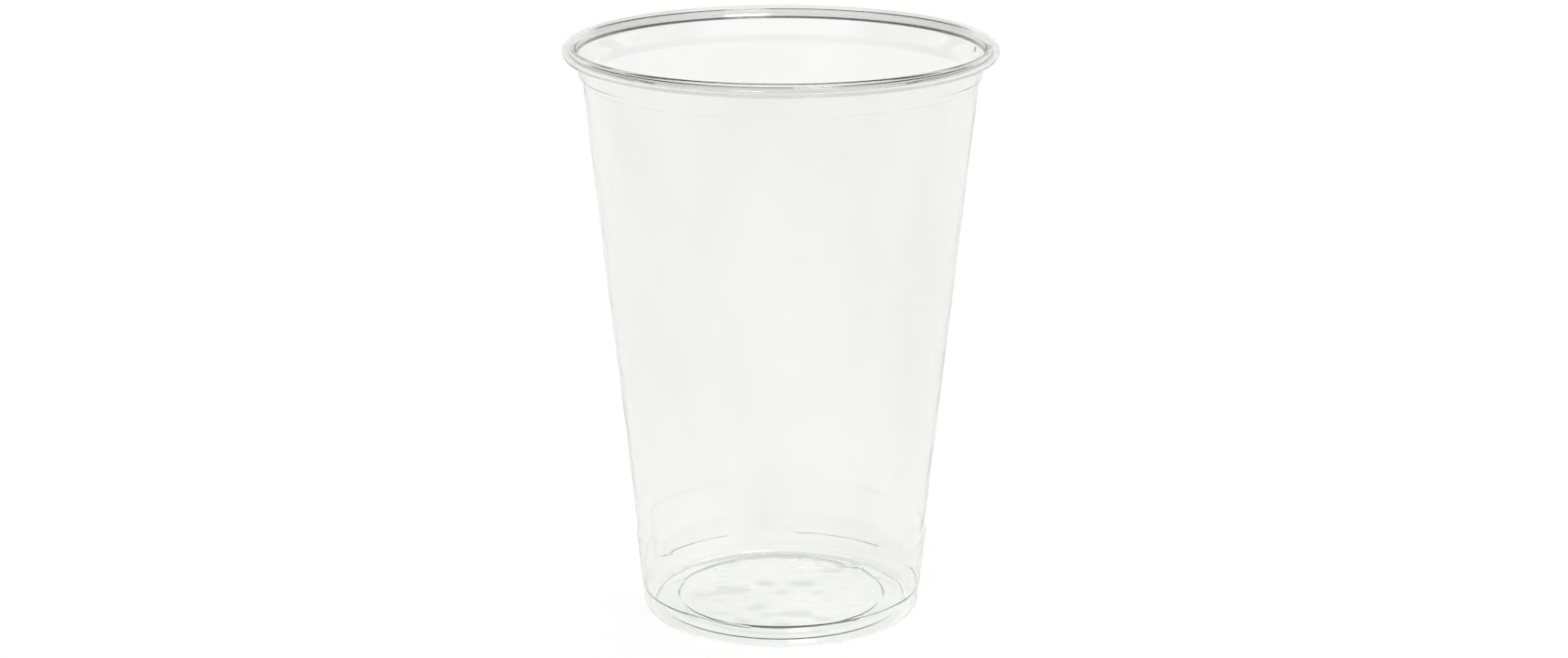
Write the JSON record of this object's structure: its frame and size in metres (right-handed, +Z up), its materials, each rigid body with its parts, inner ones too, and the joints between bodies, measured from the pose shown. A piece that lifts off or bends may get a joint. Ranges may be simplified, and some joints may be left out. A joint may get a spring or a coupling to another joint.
{
  "type": "plastic disposable cup",
  "caption": "Clear tapered disposable cup with a rolled rim, a lip band, a stacking ledge and a raised base inside its standing ring.",
  "frame": {"origin": "centre of the standing ring, on the surface that the cup stands on", "axes": "+Z up along the cup's axis to the mouth; +X and +Y are square to it"},
  "size_m": [0.095, 0.095, 0.129],
  "materials": {
    "clear_plastic": "thin clear thermoformed sheet, glossy, with faint flow marks and a slightly uneven base"
  },
  "bodies": {
    "root": {"cup": "clear_plastic"}
  },
  "joints": []
}
